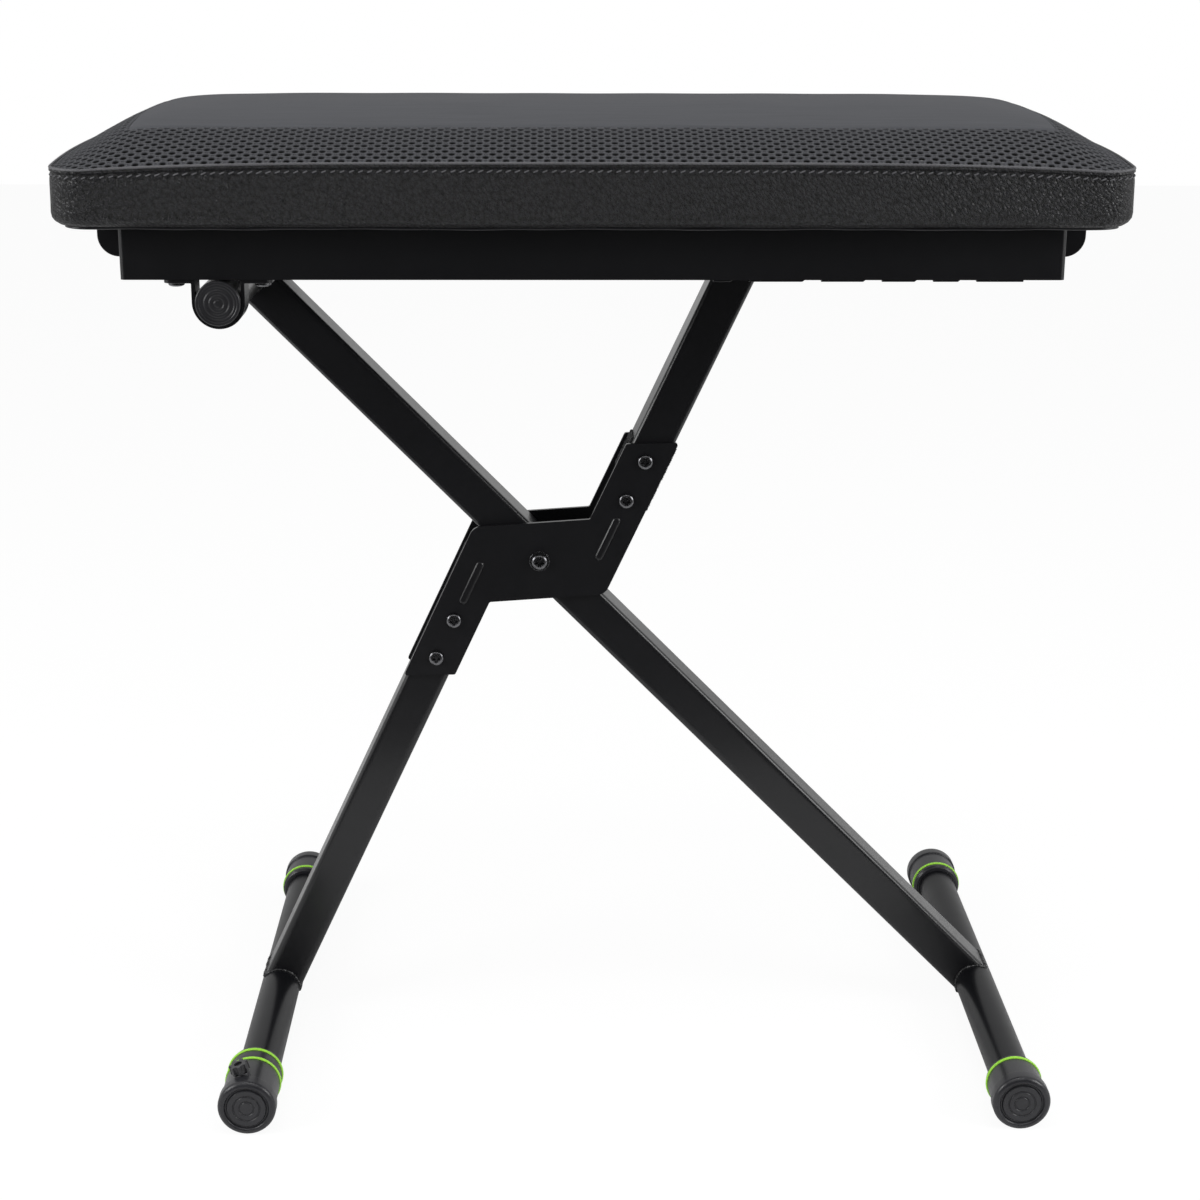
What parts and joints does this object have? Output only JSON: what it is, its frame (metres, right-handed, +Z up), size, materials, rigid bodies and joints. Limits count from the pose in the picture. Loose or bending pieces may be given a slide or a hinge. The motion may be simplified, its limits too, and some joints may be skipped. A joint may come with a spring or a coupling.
{
  "type": "folding keyboard bench",
  "caption": "Padded rectangular seat on a folding X-frame: one long leg, one offset two-part leg, notched height racks under the seat, round foot bars with capped ends and a levelling foot.",
  "frame": {"origin": "on the floor, under the centre of the seat", "axes": "+Z up, +X along the seat towards the end that locks in the racks, +Y from the front to the rear"},
  "size_m": [0.6, 0.3548, 0.5996],
  "materials": {
    "steel_black": "satin black powder coat",
    "steel_grey": "satin dark grey powder coat",
    "cap_rubber": "moulded dark grey rubber",
    "green_rubber": "bright green rubber ring",
    "plug_plastic": "moulded black plastic",
    "side_leather": "grained black artificial leather",
    "border_mesh": "black spacer mesh",
    "panel_fabric": "smooth dark grey woven fabric",
    "foam": "cut polyurethane foam",
    "plywood": "poplar plywood",
    "dust_cloth": "black non-woven cloth",
    "fastener": "blackened steel",
    "zinc": "zinc-plated steel",
    "nylon": "natural nylon",
    "brass": "turned brass",
    "hook_strap": "black hook-and-loop tape"
  },
  "bodies": {
    "stand": {"long_leg": "steel_black", "pivot_bush": "zinc", "seat_crossbar": "steel_black", "front_crossbar_plug": "plug_plastic", "rear_crossbar_plug": "plug_plastic", "right_foot_bar": "steel_grey", "right_front_cap": "cap_rubber", "right_rear_cap": "cap_rubber", "right_cap_rings": "green_rubber"},
    "short_leg": {"upper_half_leg": "steel_black", "lower_half_leg": "steel_black", "front_bracket_plate": "steel_black", "rear_bracket_plate": "steel_black", "plate_screws": "fastener", "plate_nuts": "fastener", "pivot_bolt": "fastener", "pivot_washers": "fastener", "pivot_nut": "fastener", "nylon_washers": "nylon", "lock_bar": "steel_black", "front_lock_pin": "zinc", "rear_lock_pin": "zinc", "leg_strap": "hook_strap", "left_foot_bar": "steel_grey", "left_rear_cap": "cap_rubber", "left_cap_ring": "green_rubber"},
    "seat": {"cover_top_panel": "panel_fabric", "cover_mesh_border": "border_mesh", "cover_side_band": "side_leather", "seat_foam": "foam", "seat_board": "plywood", "under_cloth": "dust_cloth", "board_screws": "zinc", "left_end_bracket": "steel_black", "right_end_bracket": "steel_black", "front_rail": "steel_black", "rear_rail": "steel_black", "front_rack": "steel_black", "rear_rack": "steel_black", "front_saddle": "steel_black", "rear_saddle": "steel_black", "saddle_screws": "fastener", "saddle_nuts": "zinc"},
    "levelling_foot": {"levelling_cap": "cap_rubber", "levelling_rings": "green_rubber", "clamp_nut": "brass"},
    "clamp_screw": {"thumbscrew": "plug_plastic"}
  },
  "joints": [
    {"name": "leg_fold", "type": "hinge", "parent": "stand", "child": "short_leg", "pos_m": [-0.0324, 0, 0.31453], "axis": [0, -1, 0], "range_deg": [0, 69]},
    {"name": "seat_tilt", "type": "hinge", "parent": "stand", "child": "seat", "pos_m": [-0.21085, 0, 0.49612], "axis": [0, -1, 0], "range_deg": [0, 69]},
    {"name": "levelling_turn", "type": "hinge", "parent": "short_leg", "child": "levelling_foot", "pos_m": [-0.20727, -0.15, 0.0176], "axis": [0, -1, 0], "range_deg": [-90, 90]},
    {"name": "clamp_screw_turn", "type": "hinge", "parent": "levelling_foot", "child": "clamp_screw", "pos_m": [-0.20727, -0.1642, 0.0176], "axis": [-0.2924, 0, 0.9563], "range_deg": [0, 360]}
  ],
  "couplings": [
    {"joint": "seat_tilt", "follows": "leg_fold", "ratio": 1}
  ]
}
